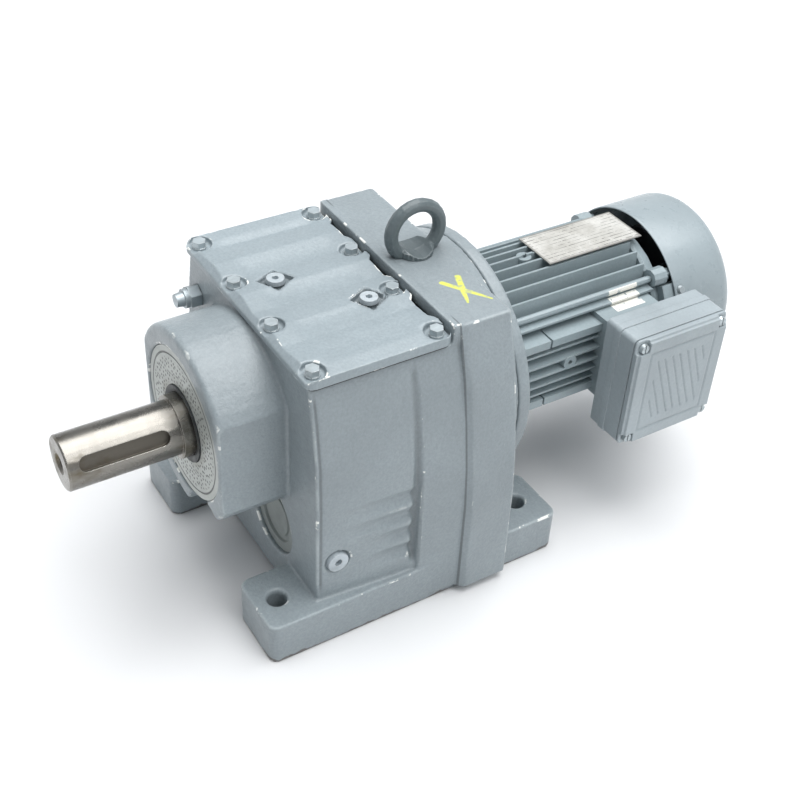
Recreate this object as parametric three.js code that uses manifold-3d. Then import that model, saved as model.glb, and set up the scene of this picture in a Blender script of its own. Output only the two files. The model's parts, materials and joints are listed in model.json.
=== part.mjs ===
// Foot-mounted inline helical geared motor: three-stage gear unit with a solid keyed output shaft, and a
// finned induction motor on its rear face. Millimetres, +Z up, output shaft pointing along -Y.
// Inside the group "machine", y = 0 is the shoulder of the output shaft and x = 0 the plane of its axis.
import * as THREE from 'three';
import { mergeVertices } from 'three/addons/utils/BufferGeometryUtils.js';
import Module from 'manifold-3d';

const wasm = await Module();
wasm.setup();

// ---------------------------------------------------------------- driving dimensions
const GAP = 0.3;                 // clearance between pieces that touch or fit into each other
const SHAFT_R = 25;              // output shaft radius
const SHAFT_LENGTH = 100;        // free length of the output shaft in front of its shoulder
const KEY_ANGLE = 25;            // resting direction of the keyway, degrees above +X
const AXIS_Z = 180;              // output shaft height above the feet
const MOTOR_Z = 166.6;           // motor axis height
const HOLES_ACROSS = 215;        // foot bolt spacing across the machine
const HOLES_ALONG = 260;         // foot bolt spacing along the machine
const FIRST_HOLE_Y = 44;         // front foot bolts behind the shaft shoulder
const FOOT_HOLE_R = 9;
const FOOT = { inner: 74, outer: 141, front: 22, rear: 331, top: 44 };
const CASE = { front: 73, split: 213, rear: 265, flange: 283.5, bottom: 7, top: 272, blockTop: 288.5 };
const WALL = 14;
const BOSS = { r: 90, flat: 77, face: 9.5, round: 5 };
const SEAL_PLATE_R = 71;
const COVER = { halfWidth: 118, front: 70, rear: 206, bottom: 273.6, top: 284, wave: 1.1 };
const BOLT_SPACING = 70.7;       // four cover bolts on each long edge
const BOLT_ROWS = [80, 196];
const EYE = { y: 240, ringR: 25, wireR: 6.4, collarR: 17.5, collarHeight: 9, rise: 21.3 };
const FLANGE_R = 120;
const STATOR = { front: 297.4, rear: 478, bore: 62, body: 69, finR: 82, finPitch: 12, fin: 2.6 };
const ROD = { x: 58, z: 54, r: 3.6 };
const GUARD = { r: 88.5, wall: 2, front: 498, rear: 574, round: 16 };
const BOX = { back: 98, split: 137, front: 146, y0: 394, y1: 504, z: 165, half: 60.5 };

// shaft lines: x, z and the gears that join them
const OUT = { x: 0, z: AXIS_Z };
const MOTOR = { x: 0, z: MOTOR_Z };
const STAGE = {
  third: { module: 4, wheel: 43, pinion: 13, y0: 104, y1: 140 },
  second: { module: 3, wheel: 37, pinion: 18, y0: 180, y1: 208 },
  first: { module: 2.5, wheel: 48, pinion: 14, y0: 217, y1: 239 },
};
const centres = (stage) => stage.module * (stage.wheel + stage.pinion) / 2;
const LAY2 = { x: 42, z: OUT.z - Math.sqrt(centres(STAGE.third) ** 2 - 42 ** 2) };
const LAY1 = meetingPoint(LAY2, centres(STAGE.second), MOTOR, centres(STAGE.first));
const BACKLASH = 0.4;            // tooth thinning on the pitch circle, mm

// ---------------------------------------------------------------- materials
const paint = (color) => new THREE.MeshStandardMaterial({ color, roughness: 0.45, metalness: 0.1 });
const CAST_PAINT = paint(0x8f9ca3);
const MOTOR_PAINT = paint(0x86969c);
const EYE_PAINT = paint(0x5c6a6c);
const STEEL = new THREE.MeshStandardMaterial({ color: 0xb9b8b4, roughness: 0.3, metalness: 1 });
const GEAR_STEEL = new THREE.MeshStandardMaterial({ color: 0x9a9894, roughness: 0.35, metalness: 1 });
const ZINC = new THREE.MeshStandardMaterial({ color: 0xc4c6c4, roughness: 0.35, metalness: 0.9 });
const RUBBER = new THREE.MeshStandardMaterial({ color: 0x2b2c2d, roughness: 0.8, metalness: 0 });
const SEAL_GREY = new THREE.MeshStandardMaterial({ color: 0xb6bab8, roughness: 0.6, metalness: 0.2 });
const GASKET = new THREE.MeshStandardMaterial({ color: 0x4c5356, roughness: 0.8, metalness: 0 });
const COPPER = new THREE.MeshStandardMaterial({ color: 0xa3542b, roughness: 0.5, metalness: 0.6 });
const PLASTIC = new THREE.MeshStandardMaterial({ color: 0x303336, roughness: 0.6, metalness: 0 });
const ALUMINIUM = new THREE.MeshStandardMaterial({ color: 0xd5d6d4, roughness: 0.35, metalness: 0.8 });

// ---------------------------------------------------------------- solids
function solid(geometry) {
  const bare = geometry.index ? geometry.clone() : geometry;
  bare.deleteAttribute('normal');
  bare.deleteAttribute('uv');
  const merged = mergeVertices(bare, 1e-4);
  const triVerts = Uint32Array.from(merged.index.array);
  const vertProperties = Float32Array.from(merged.attributes.position.array);
  const made = new wasm.Manifold(new wasm.Mesh({ numProp: 3, vertProperties, triVerts }));
  if (made.volume() > 0) return made;
  for (let i = 0; i < triVerts.length; i += 3) {
    [triVerts[i], triVerts[i + 1]] = [triVerts[i + 1], triVerts[i]];
  }
  return new wasm.Manifold(new wasm.Mesh({ numProp: 3, vertProperties, triVerts }));
}

function geometryOf(manifold) {
  const { vertProperties, triVerts, numProp } = manifold.getMesh();
  const positions = new Float32Array((vertProperties.length / numProp) * 3);
  for (let i = 0; i < positions.length / 3; i += 1) {
    positions.set(vertProperties.subarray(i * numProp, i * numProp + 3), i * 3);
  }
  const geometry = new THREE.BufferGeometry();
  geometry.setAttribute('position', new THREE.BufferAttribute(positions, 3));
  geometry.setIndex(Array.from(triVerts));
  geometry.computeVertexNormals();
  return geometry;
}

const join = (first, ...rest) => rest.reduce((sum, piece) => sum.add(piece), first);
const cut = (body, ...tools) => tools.reduce((left, tool) => left.subtract(tool), body);

function block(x0, x1, y0, y1, z0, z1) {
  const box = new THREE.BoxGeometry(x1 - x0, y1 - y0, z1 - z0);
  return solid(box.translate((x0 + x1) / 2, (y0 + y1) / 2, (z0 + z1) / 2));
}

// cylinder along Y between y0 and y1, its axis at x, z; r1 is the radius at y1
function rodY(r, y0, y1, { x = 0, z = 0, segments = 32, r1 = r } = {}) {
  const rod = new THREE.CylinderGeometry(r1, r, y1 - y0, segments);
  return solid(rod.translate(x, (y0 + y1) / 2, z));
}

function rodZ(r, z0, z1, { x = 0, y = 0, segments = 24, r1 = r } = {}) {
  const rod = new THREE.CylinderGeometry(r1, r, z1 - z0, segments).rotateX(Math.PI / 2);
  return solid(rod.translate(x, y, (z0 + z1) / 2));
}

function rodX(r, x0, x1, { y = 0, z = 0, segments = 24, r1 = r } = {}) {
  const rod = new THREE.CylinderGeometry(r1, r, x1 - x0, segments).rotateZ(-Math.PI / 2);
  return solid(rod.translate((x0 + x1) / 2, y, z));
}

// body of revolution about an axis parallel to Y; profile is [radius, y] and ends on the axis
function turned(profile, { x = 0, z = 0, segments = 32 } = {}) {
  const points = profile.map(([r, y]) => new THREE.Vector2(r, y));
  return solid(new THREE.LatheGeometry(points, segments).translate(x, 0, z));
}

// cutter that leaves a faceted bore nowhere tighter than r
const boreY = (r, y0, y1, { segments = 32, ...at } = {}) => (
  rodY(r / Math.cos(Math.PI / segments), y0, y1, { ...at, segments }));

// ring about an axis parallel to Y, its bore nowhere tighter than inner
function ringY(outer, inner, y0, y1, { segments = 32, ...at } = {}) {
  const hole = inner / Math.cos(Math.PI / segments);
  const profile = [[hole, y0], [outer, y0], [outer, y1], [hole, y1], [hole, y0]];
  return turned(profile, { ...at, segments });
}

function outline(points) {
  return new THREE.Shape(points.map(([a, b]) => new THREE.Vector2(a, b)));
}

// outline in x, z pushed along Y
function prismY(shape, y0, y1) {
  const made = new THREE.ExtrudeGeometry(shape, { depth: y1 - y0, bevelEnabled: false, curveSegments: 4 });
  return solid(made.rotateX(Math.PI / 2).translate(0, y1, 0));
}

// outline in x, y pushed along Z
function prismZ(shape, z0, z1) {
  const made = new THREE.ExtrudeGeometry(shape, { depth: z1 - z0, bevelEnabled: false, curveSegments: 4 });
  return solid(made.translate(0, 0, z0));
}

// outline in y, z pushed along X
function prismX(shape, x0, x1) {
  const made = new THREE.ExtrudeGeometry(shape, { depth: x1 - x0, bevelEnabled: false, curveSegments: 4 });
  const turn = new THREE.Matrix4().makeBasis(
    new THREE.Vector3(0, 1, 0), new THREE.Vector3(0, 0, 1), new THREE.Vector3(1, 0, 0));
  return solid(made.applyMatrix4(turn).translate(x0, 0, 0));
}

// symmetrical wall-to-wall body whose half-widths at the given heights change from y0 to y1
function loftY(heights, widths0, y0, widths1, y1) {
  const ring = (widths, y) => [
    ...heights.map((z, i) => new THREE.Vector3(widths[i], y, z)),
    ...heights.map((z, i) => new THREE.Vector3(-widths[i], y, z)).reverse(),
  ];
  const rings = [ring(widths0, y0), ring(widths1, y1)];
  const count = rings[0].length;
  const index = [];
  for (let i = 0; i < count; i += 1) {
    const next = (i + 1) % count;
    index.push(i, next, count + i, next, count + next, count + i);
  }
  rings.forEach((loop, side) => {
    const flat = loop.map((p) => new THREE.Vector2(p.x, p.z));
    for (const [a, b, c] of THREE.ShapeUtils.triangulateShape(flat, [])) {
      const corner = side * count;
      index.push(...(side ? [corner + a, corner + b, corner + c] : [a, c, b]));
    }
  });
  const geometry = new THREE.BufferGeometry().setFromPoints(rings.flat());
  geometry.setIndex(index);
  return solid(geometry);
}

const roundedBox = (w, h, r) => {
  const shape = new THREE.Shape();
  shape.moveTo(-w / 2 + r, -h / 2);
  shape.lineTo(w / 2 - r, -h / 2);
  shape.absarc(w / 2 - r, -h / 2 + r, r, -Math.PI / 2, 0);
  shape.lineTo(w / 2, h / 2 - r);
  shape.absarc(w / 2 - r, h / 2 - r, r, 0, Math.PI / 2);
  shape.lineTo(-w / 2 + r, h / 2);
  shape.absarc(-w / 2 + r, h / 2 - r, r, Math.PI / 2, Math.PI);
  shape.lineTo(-w / 2, -h / 2 + r);
  shape.absarc(-w / 2 + r, -h / 2 + r, r, Math.PI, Math.PI * 1.5);
  return shape;
};

const circle = (x, y, r) => new THREE.Shape().absarc(x, y, r, 0, Math.PI * 2);

// one of the two points at given distances from two centres: the one on the -X side
function meetingPoint(a, fromA, b, fromB) {
  const [dx, dz] = [b.x - a.x, b.z - a.z];
  const apart = Math.hypot(dx, dz);
  const along = (fromA ** 2 - fromB ** 2 + apart ** 2) / (2 * apart);
  const aside = Math.sqrt(fromA ** 2 - along ** 2);
  return { x: a.x + (dx * along - dz * aside) / apart, z: a.z + (dz * along + dx * aside) / apart };
}

// ---------------------------------------------------------------- gear teeth
const PRESSURE = 20 * Math.PI / 180;
const involute = (angle) => Math.tan(angle) - angle;

// spur outline with a tooth centred on the angle phase, seen with x right and z up
function gearOutline(teeth, module, phase) {
  const pitch = teeth * module / 2;
  const base = pitch * Math.cos(PRESSURE);
  const root = pitch - 1.15 * module;
  const tip = pitch + 0.8 * module;
  const halfAt = (r) => {
    const flank = r > base ? involute(Math.acos(base / r)) : 0;
    return (Math.PI / 2 - BACKLASH / module) / teeth + involute(PRESSURE) - flank;
  };
  const radii = [root, tip];
  const points = [];
  for (let tooth = 0; tooth < teeth; tooth += 1) {
    const middle = phase + tooth * 2 * Math.PI / teeth;
    const flank = radii.map((r) => [r, halfAt(r)]);
    for (const [r, half] of flank) points.push([r * Math.cos(middle - half), r * Math.sin(middle - half)]);
    for (const [r, half] of flank.reverse()) points.push([r * Math.cos(middle + half), r * Math.sin(middle + half)]);
  }
  return points;
}

// gear about an axis parallel to Y
function gear(teeth, module, phase, centre, y0, y1) {
  const points = gearOutline(teeth, module, phase).map(([x, z]) => [x + centre.x, z + centre.z]);
  return prismY(outline(points), y0, y1);
}

const heading = (from, to) => Math.atan2(to.z - from.z, to.x - from.x);

// phase of a gear that meshes with a gear of known phase
function meshPhase(driver, driverTeeth, driverPhase, driven, drivenTeeth) {
  const line = heading(driver, driven);
  const offset = (driverPhase - line) * driverTeeth;
  return line + Math.PI - offset / drivenTeeth + Math.PI / drivenTeeth;
}

// ---------------------------------------------------------------- parts list
const machine = new THREE.Group();
machine.position.y = -(FIRST_HOLE_Y + HOLES_ALONG / 2);

function add(name, body, material) {
  const mesh = new THREE.Mesh(geometryOf(body), material);
  mesh.name = name;
  machine.add(mesh);
}

// ---------------------------------------------------------------- gear case
const PLUG_SIDE = { y: 93, z: 85 };
const HEIGHTS = [CASE.bottom, 110, 150, 198, 239];
const PANEL_FRONT = [128, 128, 128, 126, 120, 113];
const PANEL_REAR = [138.5, 138.5, 137, 131, 123, 114.5];
const STRIP_FRONT = [138.8, 138.8, 137.5, 131, 122.5, 113.8];
const STRIP_REAR = [144.5, 144.5, 142.5, 135.5, 125.5, 115];
const BLOCK_FRONT = [147, 146, 142.5, 135.5, 128, 115];
const BLOCK_REAR = [152, 150.5, 147, 139.5, 132, 116];

function caseShell() {
  const low = [...HEIGHTS, CASE.top];
  const high = [...HEIGHTS, CASE.blockTop];
  const front = loftY(low, PANEL_FRONT, CASE.front, PANEL_REAR, CASE.split);
  const strip = loftY(low, STRIP_FRONT, 172, STRIP_REAR, CASE.split);
  const chamfer = loftY(high, BLOCK_FRONT, CASE.split, BLOCK_REAR, CASE.split + 6);
  const rear = loftY(high, BLOCK_REAR, CASE.split + 6, BLOCK_REAR, CASE.rear - 2);
  const bevel = loftY(high, BLOCK_REAR, CASE.rear - 2, BLOCK_REAR.map((w) => w - 2), CASE.rear);
  const lip = block(-115.5, 115.5, CASE.split - 5.5, CASE.split + 2, CASE.top - 6, CASE.blockTop + 1);
  const seat = turned([[0, 250], [122, 250], [122, 268], [FLANGE_R - 1, CASE.flange], [0, CASE.flange]],
    { z: MOTOR_Z, segments: 56 });
  return join(front, strip, chamfer, rear, bevel, lip, seat);
}

function foot(side) {
  const { inner, outer, front, rear, top } = FOOT;
  const width = outer - inner;
  const middle = side * (inner + outer) / 2;
  const plan = roundedBox(width, rear - front, 9);
  const rail = prismZ(plan, 0, top).translate(middle, (front + rear) / 2, 0);
  return rail;
}

function boss() {
  const { r, face, round } = BOSS;
  const profile = [[0, face], [r - round, face]];
  for (let i = 1; i <= 3; i += 1) {
    const turn = i * Math.PI / 6;
    profile.push([r - round + round * Math.sin(turn), face + round - round * Math.cos(turn)]);
  }
  profile.push([r + 0.6, CASE.front + 6], [0, CASE.front + 6]);
  const drum = turned(profile, { z: AXIS_Z, segments: 56 });
  const sides = block(-BOSS.flat, BOSS.flat, 0, 90, AXIS_Z - 100, AXIS_Z + 100);
  return drum.intersect(sides).subtract(rodY(45.5, 0, CASE.front, { ...LAY2, segments: 32 }));
}

function caseHollow() {
  const { top, blockTop, bottom, front, rear } = CASE;
  const floor = bottom + 9;
  const side = [[-104, floor], [104, floor], [116, 34], [116, 184], [99, 262], [-99, 262], [-116, 184], [-116, 34]];
  const frontRoom = prismY(outline(side), front + WALL + 1, 148);
  const rearRoom = prismY(outline(side), 172, 246);
  const underRoof = block(-96, 96, 172, 246, 240, blockTop - 12);
  const hatch = block(-96, 96, front + WALL + 1, 200, 255, top + 1);
  return join(frontRoom, rearRoom, underRoof, hatch).subtract(block(-200, 200, 200.5, rear, top - 0.01, top));
}

function gearCase() {
  const { front, flange } = CASE;
  let body = join(caseShell(), boss(), foot(1), foot(-1));
  const crossRib = block(-FOOT.inner - 4, FOOT.inner + 4, 159, 189, 0, CASE.bottom + 5);
  body = join(body, crossRib);
  body = body.subtract(caseHollow());
  body = body.add(rodY(44, front + 10, 103.5, { ...LAY2, segments: 20 }));
  body = body.add(ringY(66, 50, 30, front + WALL + 1, { z: AXIS_Z, segments: 24 }));
  const bores = [
    boreY(SEAL_PLATE_R + GAP, 0, 20, { z: AXIS_Z, segments: 48 }),
    boreY(55 + GAP, 19, front + WALL + 2, { z: AXIS_Z, segments: 24 }),
    boreY(37.7, 60, 83.5, { ...LAY2, segments: 32 }),
    boreY(36 + GAP, 83, 104, { ...LAY2, segments: 16 }),
    boreY(42.5 + GAP, 147, 173, { z: AXIS_Z, segments: 16 }),
    boreY(34, 147, 173, { ...LAY2, segments: 16 }),
    boreY(26 + GAP, 147, 173, { ...LAY1, segments: 16 }),
    boreY(26 + GAP, 245, 262.5, { ...LAY1, segments: 16 }),
    boreY(31 + GAP, 245, 264.5, { ...LAY2, segments: 16 }),
    boreY(48, 245, flange + 1, { z: MOTOR_Z, segments: 28 }),
  ];
  body = cut(body, ...bores);
  for (const side of [-1, 1]) {
    for (const y of [FIRST_HOLE_Y, FIRST_HOLE_Y + HOLES_ALONG]) {
      const at = { x: side * HOLES_ACROSS / 2, y };
      body = cut(body, rodZ(FOOT_HOLE_R, -1, FOOT.top + 1, at),
        rodZ(FOOT_HOLE_R, FOOT.top - 2.5, FOOT.top + 0.1, { ...at, r1: FOOT_HOLE_R + 2 }));
    }
  }
  for (const y of BOLT_ROWS) {
    for (let i = 0; i < 4; i += 1) {
      body = cut(body, rodZ(3.4, CASE.top - 15, CASE.top + 1, { x: (i - 1.5) * BOLT_SPACING, y, segments: 6 }));
    }
  }
  const plugBore = PLUG_SIDE;
  return cut(body,
    rodX(12.5, 126.5, 150, { ...plugBore, segments: 16 }), rodX(8.2, 110, 131, { ...plugBore, segments: 12 }),
    rodZ(8 + 2 * GAP, 262, 290, { y: EYE.y, segments: 12 }),
    rodY(8.2, 70, 90, { x: -98, z: 236, segments: 12 }));
}
add('gear_case', gearCase(), CAST_PAINT);

// ---------------------------------------------------------------- top cover
function coverPlan(grow) {
  const { halfWidth, front, rear } = COVER;
  return roundedBox(2 * (halfWidth + grow), rear - front + 2 * grow, 7);
}

function wavyTop() {
  const { halfWidth, bottom, top, wave } = COVER;
  const waves = 4.5;
  const points = [[-halfWidth - 2, bottom]];
  const steps = 18;
  for (let i = 0; i <= steps; i += 1) {
    const x = -halfWidth - 2 + (2 * halfWidth + 4) * i / steps;
    points.push([x, top + wave * Math.cos(2 * Math.PI * waves * i / steps)]);
  }
  points.push([halfWidth + 2, bottom]);
  return points.reverse();
}

const PLUG_PLACES = [[-23.3, 113.7], [38.9, 170.9]];

function topCover() {
  const { front, rear, bottom, top } = COVER;
  const middle = (front + rear) / 2;
  let body = prismZ(coverPlan(0), bottom, top + 4).translate(0, middle, 0);
  body = body.intersect(prismY(outline(wavyTop()), front - 1, rear + 1));
  const edge = outline([[front - 1, top - 6], [front - 1, top + 6], [front + 9, top + 6], [front + 5, top - 0.5]]);
  body = body.subtract(prismX(edge, -130, 130));
  BOLT_ROWS.forEach((y, row) => {
    for (let i = 0; i < 4; i += 1) {
      const x = (i - 1.5) * BOLT_SPACING;
      body = cut(body, rodZ(11.5, top - 4.5, top + 5, { x, y, segments: 14 }), rodZ(3.6, bottom - 1, top, { x, y, segments: 6 }));
      const outward = row ? [y, rear + 2] : [front - 2, y];
      body = cut(body, block(x - 6, x + 6, outward[0], outward[1], top - 4.5, top + 5));
    }
  });
  for (let i = 0; i < 3; i += 1) {
    const x = (i - 1) * BOLT_SPACING;
    body = body.subtract(prismZ(outline([[x - 20, rear + 1], [x - 13, rear - 4.5], [x + 13, rear - 4.5],
      [x + 20, rear + 1]]), bottom - 1, top + 5));
  }
  for (const [x, y] of PLUG_PLACES) {
    const pocket = prismZ(roundedBox(24, 24, 1), top - 3, top + 5).rotate([0, 0, 28]).translate([x, y, 0]);
    body = cut(body, pocket, rodZ(6.5, bottom - 1, top, { x, y, segments: 12 }));
  }
  return body;
}
add('gear_case_cover', topCover(), CAST_PAINT);

function coverGasket() {
  const { front, rear } = COVER;
  const shape = roundedBox(2 * COVER.halfWidth - 2, rear - front - 4, 6);
  shape.holes.push(roundedBox(198, 92, 4));
  let body = prismZ(shape, CASE.top + GAP, COVER.bottom - GAP).translate(0, (front + rear) / 2, 0);
  for (const y of BOLT_ROWS) {
    for (let i = 0; i < 4; i += 1) {
      body = body.subtract(rodZ(3.6, CASE.top, CASE.top + 4, { x: (i - 1.5) * BOLT_SPACING, y, segments: 6 }));
    }
  }
  return body;
}
add('cover_gasket', coverGasket(), GASKET);

function hexBolt({ x, y, z, across, head, washerR, shankR, depth }) {
  const washer = rodZ(washerR, z, z + 1.4, { x, y, segments: 12 });
  const hex = rodZ(across / Math.sqrt(3), z + 1, z + 1 + head, { x, y, segments: 6 });
  const shank = rodZ(shankR, z - depth, z + 2, { x, y, segments: 6 });
  return join(washer, hex, shank);
}

BOLT_ROWS.forEach((y, row) => {
  for (let i = 0; i < 4; i += 1) {
    const bolt = hexBolt({ x: (i - 1.5) * BOLT_SPACING, y, z: COVER.top - 4.5 + GAP, across: 11, head: 6.2,
      washerR: 6.6, shankR: 3.1, depth: 19 });
    add(`cover_bolt_${row * 4 + i + 1}`, bolt, ZINC);
  }
});

// socket plug: flanged head with a hexagon recess; made at the origin with its head along +Z
function socketPlug(headR, head, shankR, depth, socket) {
  const body = join(rodZ(headR, 0, head, { segments: 20, r1: headR - 0.6 }), rodZ(shankR, -depth, 0.5, { segments: 12 }));
  return body.subtract(rodZ(socket, head - 4, head + 1, { segments: 6 }));
}

PLUG_PLACES.forEach(([x, y], i) => {
  const plug = socketPlug(8.6, 4.2, 6, 12, 3.2).translate(x, y, COVER.top - 3 + GAP);
  add(`cover_plug_${i + 1}`, plug, ZINC);
});
add('side_oil_plug', socketPlug(10.5, 4.5, 7.6, 14, 3.8).rotate([0, 90, 0])
  .translate([126.5 + GAP, PLUG_SIDE.y, PLUG_SIDE.z]), CAST_PAINT);

function breather() {
  const at = { x: -98, z: 236 };
  const base = rodY(11, 62, CASE.front - GAP, { ...at, segments: 6 });
  const collar = rodY(9.2, 57.5, 63, { ...at, segments: 18 });
  const cap = rodY(6.2, 50, 58, { ...at, segments: 18, r1: 7.2 });
  return join(base, collar, cap, rodY(7.6, CASE.front - 1, CASE.front + 11, { ...at, segments: 12 }));
}
add('breather_valve', breather(), ZINC);

function closingCap() {
  const profile = [[0, 78], [21, 78], [22, 79.5], [27, 79.5], [28, 77], [37.4, 77], [37.4, 83], [0, 83]];
  return turned(profile, { ...LAY2, segments: 32 });
}
add('closing_cap', closingCap(), PLASTIC);

// ---------------------------------------------------------------- lifting eyebolt
function eyebolt() {
  const { y, ringR, wireR, collarR, collarHeight } = EYE;
  const base = CASE.blockTop + GAP;
  const centreZ = base + EYE.rise;
  const hoop = new THREE.TorusGeometry(ringR, wireR, 10, 24).rotateY(Math.PI / 2).translate(0, y, centreZ);
  const collar = join(rodZ(collarR, base, base + collarHeight - 3, { y, segments: 20 }),
    rodZ(collarR, base + collarHeight - 3.5, base + collarHeight + 3, { y, segments: 20, r1: 9 }));
  const clear = rodX(ringR - wireR + 0.4, -30, 30, { y, z: centreZ, segments: 24 });
  const shank = rodZ(8, base - 22, base + 1, { y, segments: 12 });
  const above = block(-50, 50, y - 50, y + 50, base, base + 100);
  return join(solid(hoop).intersect(above), collar.subtract(clear), shank);
}
add('lifting_eyebolt', eyebolt(), EYE_PAINT);

// ---------------------------------------------------------------- output shaft line
function keySlot(width, depth, y0, y1, radius, angle) {
  const shape = new THREE.Shape();
  shape.absarc(0, y0 + width / 2, width / 2, Math.PI, 2 * Math.PI);
  shape.absarc(0, y1 - width / 2, width / 2, 0, Math.PI);
  const slot = prismZ(shape, radius - depth, radius + 5);
  return slot.rotate([0, 90 - angle, 0]);
}

function outputShaft() {
  const end = -SHAFT_LENGTH;
  const body = turned([[0, end], [SHAFT_R - 1.5, end], [SHAFT_R, end + 1.5], [SHAFT_R, 0], [29, 0], [29, 31],
    [30, 31], [30, 65], [34, 65], [34, 101], [31, 101], [31, 143], [22.5, 143], [22.5, 173], [0, 173]],
  { segments: 32 });
  const drill = turned([[0, end - 1], [11.2, end - 1], [10.2, end + 0.1], [8.2, end + 2.5], [8.2, end + 34],
    [0, end + 39]], { segments: 14 });
  return cut(body, drill, keySlot(14, 5.5, end + 10, end + 90, SHAFT_R, KEY_ANGLE)).translate(0, 0, AXIS_Z);
}
add('output_shaft', outputShaft(), STEEL);

function sealPlate() {
  return ringY(SEAL_PLATE_R, 36, 11, 17, { z: AXIS_Z, segments: 48 });
}
add('output_seal_plate', sealPlate(), SEAL_GREY);

function lipSeal(inner, outer, y0, y1, centre) {
  const profile = [[inner + GAP, y0 + 1], [inner + 3, y0], [outer, y0], [outer, y1], [inner + 3, y1],
    [inner + GAP, y0 + 1]];
  return turned(profile, { ...centre, segments: 24 });
}
add('output_shaft_seal', lipSeal(29, 35.7, 9.5, 21, OUT), RUBBER);

// ball bearing as one closed piece, with the groove between its rings on the front face
function bearing(bore, outer, y0, y1, centre) {
  const segments = 14;
  const inner = bore / Math.cos(Math.PI / segments);
  const middle = (bore + outer) / 2;
  const half = (outer - bore) / 5;
  const profile = [[inner, y0], [middle - half, y0], [middle, y0 + 2.4], [middle + half, y0], [outer, y0], [outer, y1],
    [inner, y1], [inner, y0]];
  return turned(profile, { ...centre, segments });
}
add('output_bearing_front', bearing(30 + GAP, 55, 42, 64, OUT), STEEL);
add('output_bearing_rear', bearing(22.5 + GAP, 42.5, 150, 169, OUT), STEEL);

const OUT_PHASE = 0;
const LAY2_PHASE = meshPhase(OUT, STAGE.third.wheel, OUT_PHASE, LAY2, STAGE.third.pinion);
const LAY2_WHEEL_PHASE = 0;
const LAY1_PHASE = meshPhase(LAY2, STAGE.second.wheel, LAY2_WHEEL_PHASE, LAY1, STAGE.second.pinion);
const LAY1_WHEEL_PHASE = 0;
const MOTOR_PHASE = meshPhase(LAY1, STAGE.first.wheel, LAY1_WHEEL_PHASE, MOTOR, STAGE.first.pinion);

// wheel with a dished web and a bored hub
function wheel(stage, phase, centre, bore, hubR, rimR) {
  const { module, wheel: teeth, y0, y1 } = stage;
  const blank = gear(teeth, module, phase, centre, y0, y1);
  const dish = ringY(rimR, hubR, y0 - 1, y0 + 9, { ...centre, segments: 16 });
  return cut(blank, dish, boreY(bore, y0 - 1, y1 + 1, { ...centre, segments: 16 }));
}
add('output_gear', wheel(STAGE.third, OUT_PHASE, OUT, 31 + GAP, 44, 76), GEAR_STEEL);

// ---------------------------------------------------------------- intermediate shafts
function pinionShaft(stage, phase, centre, profile, y0, y1) {
  const teeth = gear(stage.pinion, stage.module, phase, centre, y0, y1);
  return teeth.add(turned(profile, { ...centre, segments: 16 }));
}

const shaft2 = [[0, 84.5], [15, 84.5], [15, 103.8], [19, 103.8], [19, 178], [18, 178], [18, 246], [12.5, 246],
  [12.5, 263], [0, 263]];
add('intermediate_shaft_2', pinionShaft(STAGE.third, LAY2_PHASE, LAY2, shaft2, 104, 143), GEAR_STEEL);
add('intermediate_2_bearing_front', bearing(15 + GAP, 36, 84, 103, LAY2), STEEL);
add('intermediate_2_bearing_rear', bearing(12.5 + GAP, 31, 246.5, 263.5, LAY2), STEEL);
add('intermediate_gear_2', wheel(STAGE.second, LAY2_WHEEL_PHASE, LAY2, 18 + GAP, 27, 47), GEAR_STEEL);

const shaft1 = [[0, 153], [12.5, 153], [12.5, 169], [17, 169], [17, 214], [15.5, 214], [15.5, 245], [12.5, 245],
  [12.5, 261.5], [0, 261.5]];
add('intermediate_shaft_1', pinionShaft(STAGE.second, LAY1_PHASE, LAY1, shaft1, 178, 211), GEAR_STEEL);
add('intermediate_1_bearing_front', bearing(12.5 + GAP, 26, 152.5, 167.5, LAY1), STEEL);
add('intermediate_1_bearing_rear', bearing(12.5 + GAP, 26, 246.5, 261.5, LAY1), STEEL);
add('intermediate_gear_1', wheel(STAGE.first, LAY1_WHEEL_PHASE, LAY1, 15.5 + GAP, 24, 53), GEAR_STEEL);

// ---------------------------------------------------------------- motor
function motorPinion() {
  const { module, pinion, y0, y1 } = STAGE.first;
  return gear(pinion, module, MOTOR_PHASE, MOTOR, y0 - 1, y1 + 1).subtract(rodY(9 + GAP, y0 - 2, y1 + 2, MOTOR));
}
add('motor_pinion', motorPinion(), GEAR_STEEL);

function rotorShaft() {
  const profile = [[0, 215], [9, 215], [9, 243], [14, 243], [14, 273], [12.5, 273], [12.5, 293], [15, 293],
    [15, 446], [14, 446], [14, 479], [10, 479], [10, 496], [9, 496], [9, 531], [0, 531]];
  return turned(profile, { ...MOTOR, segments: 16 });
}
add('rotor_shaft', rotorShaft(), STEEL);
add('rotor_core', ringY(38, 15 + GAP, 332, 444, { ...MOTOR, segments: 24 }), GEAR_STEEL);

const rodPlaces = [[1, 1], [-1, 1], [-1, -1], [1, -1]].map(([sx, sz]) => ({ x: sx * ROD.x, z: MOTOR_Z + sz * ROD.z }));

function motorFlange() {
  const profile = [[20.2, 264], [47.6, 264], [47.6, CASE.flange + GAP], [FLANGE_R, CASE.flange + GAP],
    [FLANGE_R, 297], [31.6, 297], [31.6, 274.5], [20.2, 274.5], [20.2, 264]];
  let body = turned(profile, { ...MOTOR, segments: 48 });
  for (const at of rodPlaces) body = body.subtract(boreY(ROD.r + GAP, 284, 298, { ...at, segments: 8 }));
  return body;
}
add('motor_flange', motorFlange(), CAST_PAINT);
add('motor_shaft_seal', lipSeal(14, 19.7, 265, 272, MOTOR), RUBBER);
add('motor_bearing_front', bearing(12.5 + GAP, 31, 275, 292, MOTOR), STEEL);

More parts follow.
